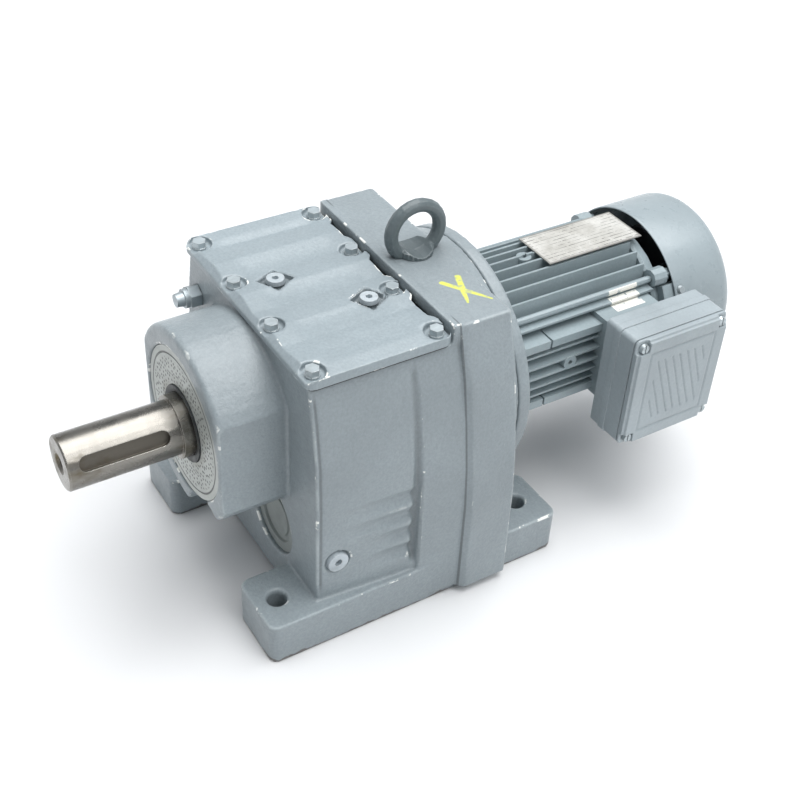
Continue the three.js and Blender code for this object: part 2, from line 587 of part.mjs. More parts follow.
function finPlate(offset, upright) {
  const { finR, fin, front, rear, body } = STATOR;
  const reach = Math.sqrt(finR ** 2 - offset ** 2);
  const start = Math.sqrt(body ** 2 - offset ** 2) - 3;
  const plate = [[offset - fin, start], [offset + fin, start], [offset + fin * 0.45, reach], [offset - fin * 0.45, reach]];
  const place = upright ? ([a, b]) => [a, MOTOR_Z + b] : ([a, b]) => [b, MOTOR_Z - a];
  return prismY(outline(plate.map(place)), front + 3, rear - 1);
}

function statorHousing() {
  const { front, rear, bore, body: bodyR, finPitch } = STATOR;
  const half = (plates) => plates.reduce((sum, plate) => sum.add(plate));
  const fins = [];
  for (let i = -4; i <= 4; i += 1) {
    const upright = finPlate(i * finPitch, true);
    const level = finPlate(i * finPitch * 0.98, false);
    fins.push(upright, level);
    fins.push(upright.mirror([0, 0, 1]).translate(0, 0, 2 * MOTOR_Z), level.mirror([1, 0, 0]));
  }
  let body = rodY(bodyR, front, rear, { ...MOTOR, segments: 36 }).add(half(fins));
  for (const side of [1, -1]) {
    const ledge = block(50, 80, front + 8, 462, MOTOR_Z + 30, MOTOR_Z + 38.5);
    const seams = [block(60, 81, 345.5, 347.5, MOTOR_Z + 20, MOTOR_Z + 40),
      block(60, 81, 412.5, 414, MOTOR_Z + 20, MOTOR_Z + 40)];
    const pad = cut(ledge, ...seams);
    body = body.add(side > 0 ? pad : pad.mirror([0, 0, 1]).translate(0, 0, 2 * MOTOR_Z));
  }
  const neck = block(50, BOX.back - GAP, BOX.y0 + 12, 472, MOTOR_Z - 44, MOTOR_Z + 44);
  const bosses = [rodZ(7.5, 225, MOTOR_Z + 80, { y: 366, segments: 14 }),
    rodX(7.5, 60, 82, { y: 371, z: MOTOR_Z + 6, segments: 14 })];
  body = join(body, neck, ...bosses);
  body = cut(body, boreY(bore, front - 1, rear + 1, { ...MOTOR, segments: 28 }),
    rodZ(2.6, MOTOR_Z + 68, MOTOR_Z + 90, { y: 366, segments: 8 }),
    rodX(2.6, 72, 90, { y: 371, z: MOTOR_Z + 6, segments: 8 }),
    rodX(16, 40, 110, { y: 447, z: MOTOR_Z, segments: 12 }));
  for (const at of rodPlaces) body = body.subtract(boreY(ROD.r + 1, front - 1, rear + 1, { ...at, segments: 8 }));
  return body.subtract(block(-26.5, 26.5, 376, 493, MOTOR_Z + 81, MOTOR_Z + 90));
}
add('stator_housing', statorHousing(), MOTOR_PAINT);
const windingPlaces = Array.from({ length: 4 }, (_, i) => {
  const turn = i * Math.PI / 2;
  return { x: 50 * Math.cos(turn), z: MOTOR_Z + 50 * Math.sin(turn) };
});

function statorCore() {
  const body = ringY(STATOR.bore - GAP, 38.8, 332, 444, MOTOR);
  return cut(body, ...windingPlaces.map((at) => boreY(3.9, 331, 445, { ...at, segments: 6 })));
}
add('stator_core', statorCore(), GEAR_STEEL);

// both end turns, joined by the bundles that run through the core
function statorWinding() {
  const front = ringY(57, 43, 312, 331.5, { ...MOTOR, segments: 24 });
  const rear = ringY(57, 43, 444.5, 463, { ...MOTOR, segments: 24 });
  return join(front, rear, ...windingPlaces.map((at) => rodY(3.6, 330, 446, { ...at, segments: 6 })));
}
add('stator_winding', statorWinding(), COPPER);
add('motor_bearing_rear', bearing(10 + GAP, 23.5, 480.5, 494.5, MOTOR), STEEL);

function rearEndshield() {
  const { rear, bore } = STATOR;
  const face = rear + GAP;
  let body = turned([[23.8, face], [bore - GAP, face - 5], [bore - GAP, face], [76, face], [78, face + 3], [74, 492],
    [34, 497], [23.8, 497], [23.8, face]], { ...MOTOR, segments: 24 });
  for (const at of rodPlaces) {
    const lug = rodY(9.5, face, 494, { ...at, segments: 10 });
    body = body.add(lug);
  }
  const ear = (turn) => {
    const arm = block(55, GUARD.r - GUARD.wall - 1.2, 486, 512, -8, 8);
    const trimmed = arm.subtract(block(50, 72, 496, 513, -9, 9));
    return trimmed.rotate([0, turn, 0]).translate([0, 0, MOTOR_Z]);
  };
  for (const turn of EAR_TURNS) body = body.add(ear(turn));
  for (const at of rodPlaces) body = body.subtract(boreY(ROD.r + GAP, face - 1, 513, { ...at, segments: 8 }));
  for (const turn of EAR_TURNS) {
    const hole = rodX(2.7, 69, 100, { y: 505, segments: 8 }).rotate([0, turn, 0]).translate([0, 0, MOTOR_Z]);
    body = body.subtract(hole);
  }
  return body;
}
const EAR_TURNS = [-30, -150, 150, 30];
add('rear_endshield', rearEndshield(), MOTOR_PAINT);

rodPlaces.forEach((at, i) => {
  const rod = rodY(ROD.r, 285, 496, { ...at, segments: 8 });
  const head = rodY(6.6, 494.3, 499.5, { ...at, segments: 6 });
  add(`tie_rod_${i + 1}`, rod.add(head), ZINC);
});

function fan() {
  const centre = MOTOR;
  const hub = ringY(16, 9 + GAP, 506, 530, { ...centre, segments: 20 });
  const plate = ringY(62, 14, 524, 527, { ...centre, segments: 24 });
  let body = hub.add(plate);
  const blades = 7;
  for (let i = 0; i < blades; i += 1) {
    const blade = block(15, 66, 509, 526, -1.4, 1.4);
    body = body.add(blade.rotate([0, i * 360 / blades, 0]).translate([0, 0, MOTOR_Z]));
  }
  return body;
}
add('cooling_fan', fan(), PLASTIC);

function fanGuard() {
  const { r, wall, front, rear, round } = GUARD;
  const arc = (radius, corner, steps) => {
    const points = [];
    for (let i = 0; i <= steps; i += 1) {
      const turn = i * Math.PI / 2 / steps;
      points.push([radius - corner + corner * Math.cos(turn), rear - round + corner * Math.sin(turn)]);
    }
    return points;
  };
  const outer = arc(r, round, 3);
  const inner = arc(r - wall, round - wall, 2).reverse();
  const profile = [[r - wall, front], [r, front], ...outer, [0, rear], [0, rear - wall], ...inner, [r - wall, front]];
  let body = turned(profile, { ...MOTOR, segments: 44 });
  const slots = [];
  const count = 12;
  for (let i = 0; i < count; i += 1) {
    const slot = block(26, 70, rear - 4, rear + 2, -3, 3);
    slots.push(slot.rotate([0, i * 360 / count, 0]).translate([0, 0, MOTOR_Z]));
  }
  body = cut(body, ...slots);
  for (const turn of EAR_TURNS) {
    const hole = rodX(2.7, 69, 100, { y: 505, segments: 8 }).rotate([0, turn, 0]).translate([0, 0, MOTOR_Z]);
    body = body.subtract(hole);
  }
  return body;
}
add('fan_guard', fanGuard(), MOTOR_PAINT);

EAR_TURNS.forEach((turn, i) => {
  const at = { y: 505, segments: 8 };
  const screw = join(rodX(2.1, 76, 90, at), rodX(4.6, GUARD.r + GAP, GUARD.r + 2.6, { y: 505, segments: 12, r1: 3.4 }));
  add(`fan_guard_screw_${i + 1}`, screw.rotate([0, turn, 0]).translate([0, 0, MOTOR_Z]), ZINC);
});

// ---------------------------------------------------------------- terminal box
const boxMiddle = (BOX.y0 + BOX.y1) / 2;
const boxLength = BOX.y1 - BOX.y0;
const screwPlaces = [[-1, 1], [1, 1], [1, -1], [-1, -1]].map(([sy, sz]) => (
  { y: boxMiddle + sy * (boxLength / 2 - 8), z: BOX.z + sz * (BOX.half - 8) }));

// rounded block along X, wider at x0 than at x1 by the taper on each side
function boxBlock(x0, x1, inset, corner) {
  const shape = roundedBox(boxLength - 2 * inset, 2 * (BOX.half - inset), corner);
  return prismX(shape, x0, x1).translate(0, boxMiddle, BOX.z);
}

function terminalBox() {
  const { back, split } = BOX;
  let body = join(boxBlock(back, split, 0, 5), boxBlock(back + 12, back + 20, -0.8, 5));
  body = body.subtract(boxBlock(back + 4, split + 1, 13, 5));
  for (const at of screwPlaces) body = body.subtract(rodX(2.7, split - 20, split + 1, { ...at, segments: 8 }));
  const entry = { x: 119, z: BOX.z + 22 };
  return cut(body, boreY(9 + GAP, BOX.y1 - 16, BOX.y1 + 1, { ...entry, segments: 16 }),
    rodX(14, back - 1, back + 6, { y: 447, z: BOX.z, segments: 12 }));
}
add('terminal_box', terminalBox(), MOTOR_PAINT);

function terminalBoxCover() {
  const { split, front } = BOX;
  let body = join(boxBlock(split + GAP, front - 3, 0, 5), boxBlock(front - 3.5, front, 2.5, 4));
  body = body.subtract(boxBlock(split, front - 5, 13, 5));
  for (const [i, at] of screwPlaces.entries()) {
    const sy = i === 1 || i === 2 ? 1 : -1;
    const sz = i < 2 ? 1 : -1;
    const notch = block(front - 5.5, front + 1, Math.min(at.y - 5 * sy, at.y + 12 * sy),
      Math.max(at.y - 5 * sy, at.y + 12 * sy), Math.min(at.z - 5 * sz, at.z + 12 * sz),
      Math.max(at.z - 5 * sz, at.z + 12 * sz));
    body = cut(body, notch, rodX(2.7, split - 1, front + 1, { ...at, segments: 8 }));
  }
  return body;
}
add('terminal_box_cover', terminalBoxCover(), MOTOR_PAINT);

screwPlaces.forEach((at, i) => {
  const seat = BOX.front - 5.5 + GAP;
  const screw = join(rodX(2.3, BOX.split - 16, seat + 1, { ...at, segments: 8 }),
    rodX(5, seat, seat + 4, { ...at, segments: 12, r1: 4.4 }));
  const slot = block(seat + 2.5, seat + 5, at.y - 0.7, at.y + 0.7, at.z - 6, at.z + 6);
  add(`terminal_box_screw_${i + 1}`, screw.subtract(slot), ZINC);
});

function entryPlug() {
  const at = { x: 119, z: BOX.z + 22 };
  const head = rodY(11.5, BOX.y1 + 1.2, BOX.y1 + 6, { ...at, segments: 6 });
  return head.add(rodY(8.8, BOX.y1 - 12, BOX.y1 + 2, { ...at, segments: 14 }));
}
add('cable_entry_plug', entryPlug(), PLASTIC);

add('rating_plate', block(-25.5, 25.5, 378, 490, MOTOR_Z + 81.3, MOTOR_Z + 82.3), ALUMINIUM);

export default machine;
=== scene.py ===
"""Looks of a foot-mounted inline gear reducer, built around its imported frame.

The frame has +Z up, z = 0 at the underside of the feet, and the output shaft pointing along -Y. Blender
works in metres. Profiles and shape functions are written in millimetres, and MM turns them into metres.
"""

import json
import math

import bmesh
import bpy
from mathutils import Matrix, Vector


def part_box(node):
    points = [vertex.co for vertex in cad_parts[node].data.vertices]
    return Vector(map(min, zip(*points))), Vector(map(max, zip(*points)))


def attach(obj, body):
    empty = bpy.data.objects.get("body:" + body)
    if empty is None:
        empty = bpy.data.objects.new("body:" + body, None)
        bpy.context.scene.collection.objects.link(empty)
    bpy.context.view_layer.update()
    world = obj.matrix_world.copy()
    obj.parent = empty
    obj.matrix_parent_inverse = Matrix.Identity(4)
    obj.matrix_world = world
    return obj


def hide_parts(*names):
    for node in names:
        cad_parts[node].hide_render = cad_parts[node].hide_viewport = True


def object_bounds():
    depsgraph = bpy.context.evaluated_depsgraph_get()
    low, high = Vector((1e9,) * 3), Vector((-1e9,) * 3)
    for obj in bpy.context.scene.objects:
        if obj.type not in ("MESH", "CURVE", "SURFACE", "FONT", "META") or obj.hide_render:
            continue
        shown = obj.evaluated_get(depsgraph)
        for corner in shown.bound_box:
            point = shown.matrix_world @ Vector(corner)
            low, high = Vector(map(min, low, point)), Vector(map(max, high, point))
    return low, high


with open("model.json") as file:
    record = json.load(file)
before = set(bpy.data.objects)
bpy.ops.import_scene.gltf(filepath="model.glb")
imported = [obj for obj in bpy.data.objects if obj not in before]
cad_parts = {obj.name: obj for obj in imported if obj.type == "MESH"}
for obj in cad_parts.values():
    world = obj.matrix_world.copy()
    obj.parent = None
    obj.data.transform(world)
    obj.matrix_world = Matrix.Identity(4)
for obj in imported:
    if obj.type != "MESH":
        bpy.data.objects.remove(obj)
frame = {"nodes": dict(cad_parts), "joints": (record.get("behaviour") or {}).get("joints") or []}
nodes = frame["nodes"]
low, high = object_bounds()

MM = 0.001
SAME_POINT = 2e-6
JOINT_AT = {joint["name"]: Vector(joint["pos_m"]) for joint in frame["joints"]}
SHAFT_Z = JOINT_AT["output_spin"].z
MOTOR_Z = JOINT_AT["rotor_spin"].z

# gear case, all along Y: the joint line of its sides, the crease beside the raised strip, and the groove
# just behind the front corners
SEAM_Y = 39.6 * MM
CREASE_Y = -5.5 * MM
CORNER_Y = -97 * MM

# cover: a turned square pocket round each of the two socket plugs
PLUGS = [sum(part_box(name), Vector()) / 2 for name in ("cover_plug_1", "cover_plug_2")]
POCKET_TURN = math.radians(28)
POCKET_HALF = 12.4 * MM


def colour(red, green, blue):
    """Linear RGBA of an 8-bit screen colour."""
    def linear(level):
        level /= 255
        return level / 12.92 if level <= 0.04045 else ((level + 0.055) / 1.055) ** 2.4
    return (linear(red), linear(green), linear(blue), 1.0)


def tone(base, share, lift=0.0):
    """A darker or paler version of a colour."""
    return tuple(min(1.0, level * share + lift) for level in base[:3]) + (1.0,)


# ------------------------------------------------------------------ shaders
class Shader:
    """A procedural material: one Principled shader and short ways to feed it."""

    def __init__(self, name):
        self.material = bpy.data.materials.new(name)
        self.material.use_nodes = True
        self.tree = self.material.node_tree
        self.tree.nodes.clear()
        out = self.tree.nodes.new("ShaderNodeOutputMaterial")
        self.skin = self.tree.nodes.new("ShaderNodeBsdfPrincipled")
        self.tree.links.new(self.skin.outputs[0], out.inputs["Surface"])
        self.place = self.tree.nodes.new("ShaderNodeTexCoord").outputs["Object"]

    def feed(self, socket, value):
        """Links a socket to another node's output, or gives it a plain value."""
        if isinstance(value, bpy.types.NodeSocket):
            self.tree.links.new(value, socket)
        else:
            socket.default_value = value

    def set(self, **inputs):
        """Feeds the Principled shader; an underscore in a name stands for a space."""
        for name, value in inputs.items():
            self.feed(self.skin.inputs[name.replace("_", " ")], value)

    def math(self, kind, a, b=0.0, clamp=False):
        """An operation on plain values, held between 0 and 1 if clamp is on."""
        node = self.tree.nodes.new("ShaderNodeMath")
        node.operation = kind
        node.use_clamp = clamp
        self.feed(node.inputs[0], a)
        self.feed(node.inputs[1], b)
        return node.outputs[0]

    def times(self, product, *factors):
        """The product of two or more values."""
        for factor in factors:
            product = self.math("MULTIPLY", product, factor)
        return product

    def away(self, value, middle):
        """How far a value is from a middle, always positive."""
        return self.math("ABSOLUTE", self.math("SUBTRACT", value, middle))

    def vector(self, kind, a, b=(0.0, 0.0, 0.0), out=0):
        """An operation on vectors; out is 1 for those that give a plain value."""
        node = self.tree.nodes.new("ShaderNodeVectorMath")
        node.operation = kind
        self.feed(node.inputs[0], a)
        self.feed(node.inputs[1], b)
        return node.outputs[out]

    def axes(self):
        """The x, y and z of the place on the surface, in metres."""
        node = self.tree.nodes.new("ShaderNodeSeparateXYZ")
        self.feed(node.inputs[0], self.place)
        return node.outputs

    def join(self, x, y, z):
        """One vector from three plain values."""
        node = self.tree.nodes.new("ShaderNodeCombineXYZ")
        for socket, value in zip(node.inputs, (x, y, z)):
            self.feed(socket, value)
        return node.outputs[0]

    def stretch(self, x, y, z):
        """The place on the surface, each axis with its own scale."""
        return self.vector("MULTIPLY", self.place, (x, y, z))

    def noise(self, scale, detail=3.0, rough=0.5, where=None):
        """Cloudy values between 0 and 1."""
        node = self.tree.nodes.new("ShaderNodeTexNoise")
        self.feed(node.inputs["Vector"], where or self.place)
        node.inputs["Scale"].default_value = scale
        node.inputs["Detail"].default_value = detail
        node.inputs["Roughness"].default_value = rough
        return node.outputs["Fac"]

    def cells(self, scale, where, randomness):
        """Distance to the nearest of many scattered points in a plane."""
        node = self.tree.nodes.new("ShaderNodeTexVoronoi")
        node.voronoi_dimensions = "2D"
        self.feed(node.inputs["Vector"], where)
        node.inputs["Scale"].default_value = scale
        node.inputs["Randomness"].default_value = randomness
        return node.outputs["Distance"]

    def spread(self, value, a, b, to_a=0.0, to_b=1.0, smooth=False):
        """A value from a..b laid onto to_a..to_b, held at the ends."""
        node = self.tree.nodes.new("ShaderNodeMapRange")
        node.interpolation_type = "SMOOTHSTEP" if smooth else "LINEAR"
        limits = {"Value": value, "From Min": a, "From Max": b, "To Min": to_a, "To Max": to_b}
        for name, limit in limits.items():
            self.feed(node.inputs[name], limit)
        return node.outputs[0]

    def mix(self, share, a, b):
        """A colour that is a at share 0 and b at share 1."""
        node = self.tree.nodes.new("ShaderNodeMix")
        node.data_type = "RGBA"
        self.feed(node.inputs[0], share)
        self.feed(node.inputs[6], a)
        self.feed(node.inputs[7], b)
        return node.outputs[2]

    def edges(self, radius):
        """1 on sharp edges and 0 on flat faces, and a normal that rounds those edges."""
        bevel = self.tree.nodes.new("ShaderNodeBevel")
        bevel.samples = 3
        bevel.inputs["Radius"].default_value = radius
        plain = self.tree.nodes.new("ShaderNodeNewGeometry").outputs["Normal"]
        alike = self.vector("DOT_PRODUCT", bevel.outputs[0], plain, out=1)
        return self.spread(self.math("SUBTRACT", 1.0, alike), 0.05, 0.35), bevel.outputs[0]

    def pointed(self, a, b):
        """1 where a dense mesh is as pointed as b, 0 where it is as pointed as a; 0.5 is flat."""
        node = self.tree.nodes.new("ShaderNodeNewGeometry")
        return self.spread(node.outputs["Pointiness"], a, b)

    def bump(self, height, strength, reach, base=None):
        """A normal that follows a height, laid over another normal if base is given."""
        node = self.tree.nodes.new("ShaderNodeBump")
        node.inputs["Strength"].default_value = strength
        node.inputs["Distance"].default_value = reach
        self.feed(node.inputs["Height"], height)
        if base is not None:
            self.feed(node.inputs["Normal"], base)
        return node.outputs[0]

    def stroke(self, x, y, start, end, width):
        """1 along a brush stroke that tapers from start to end in the plane of x and y."""
        dx, dy = end[0] - start[0], end[1] - start[1]
        past_x = self.math("SUBTRACT", x, start[0])
        past_y = self.math("SUBTRACT", y, start[1])
        dot = self.math("ADD", self.times(past_x, dx), self.times(past_y, dy))
        along = self.math("DIVIDE", dot, dx * dx + dy * dy, clamp=True)
        off_x = self.math("SUBTRACT", past_x, self.times(along, dx))
        off_y = self.math("SUBTRACT", past_y, self.times(along, dy))
        off = self.vector("LENGTH", self.join(off_x, off_y, 0.0), out=1)
        wide = self.spread(along, 0.55, 1.0, width, width * 0.35)
        return self.spread(self.math("DIVIDE", off, wide), 0.6, 0.42)


# ------------------------------------------------------------------ marks laid over a finish
def worn_feet(s, body, rough):
    """Bare, ragged casting along the underside of the feet."""
    z = s.axes()[2]
    ragged = s.times(s.spread(s.noise(70.0, 3.0), 0.3, 0.7), 5.0 * MM)
    bare = s.spread(z, s.math("ADD", ragged, 0.4 * MM), s.math("ADD", ragged, -0.6 * MM))
    return s.mix(s.times(bare, 0.85), body, colour(84, 78, 72)), rough


def groove_shade(s, body, rough):
    """Painted shade in the joint line, the crease and the corner groove on both sides of the case."""
    x, y, z = s.axes()
    out = s.math("ABSOLUTE", x)
    # painted shade: a dark line in the groove of the joint line
    seam = s.times(s.spread(s.away(y, SEAM_Y), 1.0 * MM, 0.45 * MM), s.spread(out, 98 * MM, 104 * MM))
    body = s.mix(s.times(seam, 0.62), body, colour(62, 68, 71))
    # painted shade in the crease beside the raised strip and in the groove at the front corner
    crease = s.spread(s.away(y, CREASE_Y), 5.0 * MM, 0.8 * MM, 0.0, 0.3, smooth=True)
    corner = s.spread(s.away(y, CORNER_Y), 1.9 * MM, 0.6 * MM, 0.0, 0.5)
    upright = s.times(s.spread(z, 50 * MM, 62 * MM), s.spread(z, 268 * MM, 256 * MM))
    folds = s.times(s.math("MAXIMUM", crease, corner), s.spread(out, 94 * MM, 102 * MM), upright)
    return s.mix(folds, body, colour(58, 64, 67)), rough


def painted_cross(s, body, rough):
    """A hand-brushed yellow cross on the case's raised block."""
    x, y, z = s.axes()
    wobble = s.times(s.math("SUBTRACT", s.noise(300.0, 2.0), 0.5), 0.9 * MM)
    x, y = s.math("ADD", x, wobble), s.math("ADD", y, wobble)
    cross = s.math("MAXIMUM",
                   s.stroke(x, y, (54.5 * MM, 60.5 * MM), (94.0 * MM, 85.5 * MM), 4.9 * MM),
                   s.stroke(x, y, (52.5 * MM, 78.0 * MM), (89.5 * MM, 64.0 * MM), 5.4 * MM))
    cross = s.times(cross, s.spread(z, 286.5 * MM, 287.0 * MM))
    dry = s.spread(s.noise(210.0, 4.0, 0.6), 0.32, 0.52, 0.35, 0.95)
    body = s.mix(s.times(cross, dry), body, colour(204, 208, 84))
    return body, s.math("ADD", rough, s.times(cross, 0.2))


def pocket_dirt_and_shade(s, body, rough):
    """Dirt and painted shade in the square pockets round the cover's socket plugs."""
    cos, sin = math.cos(POCKET_TURN), math.sin(POCKET_TURN)
    for plug in PLUGS:
        off = s.vector("SUBTRACT", s.place, tuple(plug))
        u = s.vector("DOT_PRODUCT", off, (cos, sin, 0.0), out=1)
        v = s.vector("DOT_PRODUCT", off, (-sin, cos, 0.0), out=1)
        reach = s.math("MAXIMUM", s.math("ABSOLUTE", u), s.math("ABSOLUTE", v))
        inside = s.spread(reach, POCKET_HALF, POCKET_HALF - 0.8 * MM)
        # darkens the pocket floors with dirt and painted shade
        dirt_and_shade = s.times(inside, s.spread(s.noise(90.0, 3.0), 0.3, 0.7, 0.4, 0.75))
        body = s.mix(dirt_and_shade, body, colour(66, 74, 78))
    return body, rough


def blank_sticker(s, body, rough):
    """A blank, torn sticker on the stator's ledge next to the terminal box."""
    x, y, z = s.axes()
    middle_x, middle_y, half_x, half_y, fade = 68.5 * MM, 269 * MM, 8.5 * MM, 17.0 * MM, 0.4 * MM
    sticker = s.times(s.spread(s.away(y, middle_y), half_y + fade, half_y),
                      s.spread(s.away(x, middle_x), half_x + fade, half_x),
                      s.spread(z, 204.6 * MM, 204.9 * MM))
    torn = s.spread(s.noise(150.0, 4.0, 0.65), 0.36, 0.42)
    return s.mix(s.times(sticker, torn), body, colour(228, 227, 220)), rough


def keyway_darkening(s, body, rough):
    """Darkens the output shaft's keyway, which lies below the round surface, towards brown and makes it
    rougher.
    """
    front, back, fade = -270 * MM, -180 * MM, 1 * MM
    x, y, z = s.axes()
    radius = s.vector("LENGTH", s.join(x, s.math("SUBTRACT", z, SHAFT_Z), 0.0), out=1)
    sunk = s.times(s.spread(radius, 24.5 * MM, 23.8 * MM),
                   s.spread(y, front, front + fade), s.spread(y, back, back - fade))
    body = s.mix(s.times(sunk, 0.62), body, colour(90, 84, 74))
    return body, s.math("ADD", rough, s.times(sunk, 0.15))


# ------------------------------------------------------------------ finishes
def paint(name, base, dense=False, grain=1.0, roughness=0.36, chips=0.5, marks=()):
    """Semi-gloss machine paint: cloudy tone, orange peel, rubbed and chipped edges, and grime, which on
    dense pieces is painted shade in the hollows.

    dense is for finely meshed pieces, grain says how coarse the surface under the paint is, chips how much
    paint has chipped off the edges, and marks are functions that lay more over the paint.
    """
    s = Shader(name)
    body = s.mix(s.spread(s.noise(7.0, 3.0), 0.3, 0.7), tone(base, 0.84), tone(base, 1.13))
    body = s.mix(s.spread(s.noise(48.0, 4.0, 0.6), 0.35, 0.75, 0.0, 0.35), body, base)
    mottle = s.spread(s.noise(380.0, 2.0, 0.6), 0.36, 0.64, 0.0, 0.38 * min(grain, 1.0))
    body = s.mix(mottle, body, tone(base, 0.72))
    if dense:
        edge, rounded = s.pointed(0.51, 0.55), None
        # painted shade: the hollow, less pointed parts of a dense mesh
        grime_and_hollow_shade = s.pointed(0.485, 0.44)
    else:
        edge, rounded = s.edges(0.9 * MM)
        grime_and_hollow_shade = s.spread(s.noise(20.0, 2.0), 0.62, 0.8, 0.0, 0.25)
    # darkens the paint: painted shade in the hollows on dense pieces, patches of grime on others
    body = s.mix(s.times(grime_and_hollow_shade, 0.45), body, tone(base, 0.42))
    rubbed = s.times(edge, s.spread(s.noise(26.0, 5.0, 0.65), 0.4, 0.75))
    body = s.mix(s.times(rubbed, 0.55), body, colour(205, 213, 214))
    onset = 0.615 - 0.035 * chips
    flake = s.spread(s.noise(66.0, 3.0, 0.6), onset, onset + 0.03)
    on_edge = s.math("MULTIPLY", s.spread(edge, 0.12, 0.4), chips * 1.4, clamp=True)
    body = s.mix(s.times(flake, on_edge), body, colour(236, 237, 232))
    rough = s.spread(s.noise(90.0, 4.0), 0.3, 0.7, roughness - 0.06, roughness + 0.1)
    for mark in marks:
        body, rough = mark(s, body, rough)
    peel = s.noise(290.0, 2.0, 0.55)
    sand = s.noise(880.0, 2.0, 0.6)
    height = s.math("ADD", s.times(peel, 0.75), s.times(sand, 0.25 * grain))
    normal = s.bump(height, 0.5 * grain, 0.8 * MM, rounded)
    normal = s.bump(s.noise(60.0, 3.0), 0.16 * grain, 1.8 * MM, normal)
    s.set(Base_Color=body, Roughness=rough, Normal=normal, Coat_Weight=0.18, Coat_Roughness=0.22)
    return s.material


def metal(name, base, stain, roughness=0.34, turned=None, stains=0.5, metallic=1.0, marks=()):
    """Machined metal: fine marks round the Y axis if turned, rubbed edges and handling stains."""
    s = Shader(name)
    y = s.axes()[1]
    drawn = s.noise(150.0, 4.0, 0.6, s.stretch(1.0, 0.12, 1.0))
    body = s.mix(s.spread(drawn, 0.3, 0.7), tone(base, 0.86), base)
    soil = s.spread(s.noise(26.0, 5.0, 0.62, s.stretch(1.0, 0.45, 1.0)), 0.49, 0.63, 0.0, stains)
    body = s.mix(soil, body, stain)
    edge, rounded = s.edges(0.7 * MM)
    body = s.mix(s.times(edge, 0.5), body, colour(236, 234, 228))
    rough = s.spread(s.noise(70.0, 4.0), 0.3, 0.7, roughness - 0.06, roughness + 0.1)
    rough = s.math("ADD", rough, s.times(soil, 0.2))
    for mark in marks:
        body, rough = mark(s, body, rough)
    if turned:
        lines = s.noise(1.0, 3.0, 0.7, s.join(0.0, s.times(y, turned), 0.0))
    else:
        lines = s.noise(600.0, 3.0, 0.6)
    normal = s.bump(lines, 0.16, 0.15 * MM, rounded)
    s.set(Base_Color=body, Roughness=rough, Normal=normal, Metallic=metallic)
    return s.material


def dull(name, base, roughness=0.6):
    """Rubber, plastic and lacquer: faint dust, rubbed edges, fine grain."""
    s = Shader(name)
    dust = s.spread(s.noise(38.0, 5.0, 0.6), 0.4, 0.8, 0.0, 0.4)
    edge, rounded = s.edges(0.6 * MM)
    body = s.mix(dust, base, tone(base, 1.7, 0.02))
    body = s.mix(s.times(edge, 0.3), body, tone(base, 2.2, 0.04))
    rough = s.spread(s.noise(120.0, 3.0), 0.3, 0.7, roughness - 0.08, roughness + 0.1)
    normal = s.bump(s.noise(500.0, 3.0), 0.2, 0.3 * MM, rounded)
    s.set(Base_Color=body, Roughness=rough, Normal=normal)
    return s.material


def dimpled(name, base):
    """The seal plate: turned rings, one round groove, and a band of scattered dimples, with painted shade
    in the dimples and the groove.
    """
    s = Shader(name)
    x, _, z = s.axes()
    flat = s.join(x, s.math("SUBTRACT", z, SHAFT_Z), 0.0)
    radius = s.vector("LENGTH", flat, out=1)
    band = s.times(s.spread(radius, 37 * MM, 39 * MM), s.spread(radius, 61.5 * MM, 59.5 * MM))
    pits = s.times(s.spread(s.cells(205.0, flat, 0.62), 0.27, 0.17), band)
    groove = s.spread(s.away(radius, 64.5 * MM), 1.1 * MM, 0.5 * MM)
    hollow = s.math("MAXIMUM", pits, groove)
    body = s.mix(s.spread(s.noise(40.0, 4.0), 0.3, 0.7), tone(base, 0.86), base)
    # painted shade in the dimples and the groove
    body = s.mix(s.times(hollow, 0.85), body, colour(52, 56, 56))
    soil = s.times(s.spread(radius, 47 * MM, 36 * MM), s.spread(s.noise(60.0, 4.0), 0.4, 0.7))
    body = s.mix(s.times(soil, 0.6), body, colour(96, 84, 66))
    rings = s.noise(1.0, 2.0, 0.5, s.join(s.times(radius, 1500.0), 0.0, 0.0))
    normal = s.bump(rings, 0.12, 0.12 * MM)
    normal = s.bump(s.math("SUBTRACT", 1.0, hollow), 0.9, 0.9 * MM, normal)
    rough = s.spread(s.noise(90.0, 3.0), 0.3, 0.7, 0.36, 0.5)
    s.set(Base_Color=body, Roughness=rough, Normal=normal, Metallic=0.35)
    return s.material


def plate(name):
    """The rating plate: brushed aluminium with rows of worn blots, nothing readable."""
    s = Shader(name)
    x, y, _ = s.axes()
    rows = s.times(x, 205.0)
    row = s.math("FRACT", rows)
    line = s.times(s.spread(row, 0.40, 0.46), s.spread(row, 0.66, 0.60))
    blot = s.noise(1.0, 3.0, 0.75, s.join(rows, s.times(y, 240.0), 0.0))
    worn = s.spread(s.noise(46.0, 3.0), 0.3, 0.62)
    ink = s.times(line, s.spread(blot, 0.42, 0.5), worn)
    rule = s.times(s.spread(row, 0.05, 0.0), 0.5)
    rim = s.math("MAXIMUM", s.spread(s.math("ABSOLUTE", x), 23.4 * MM, 23.9 * MM),
                 s.spread(s.away(y, 260 * MM), 53.8 * MM, 54.4 * MM))
    ink = s.math("MAXIMUM", s.math("MAXIMUM", ink, rule), s.times(rim, 0.6))
    patina = s.spread(s.noise(30.0, 5.0, 0.7), 0.35, 0.7)
    body = s.mix(patina, colour(218, 217, 212), colour(182, 180, 173))
    body = s.mix(s.times(ink, 0.85), body, colour(66, 64, 62))
    brushed = s.noise(1.0, 2.0, 0.6, s.join(s.times(x, 2600.0), s.times(y, 60.0), 0.0))
    rough = s.spread(brushed, 0.3, 0.7, 0.28, 0.46)
    s.set(Base_Color=body, Roughness=rough, Normal=s.bump(brushed, 0.2, 0.1 * MM), Metallic=0.4)
    return s.material
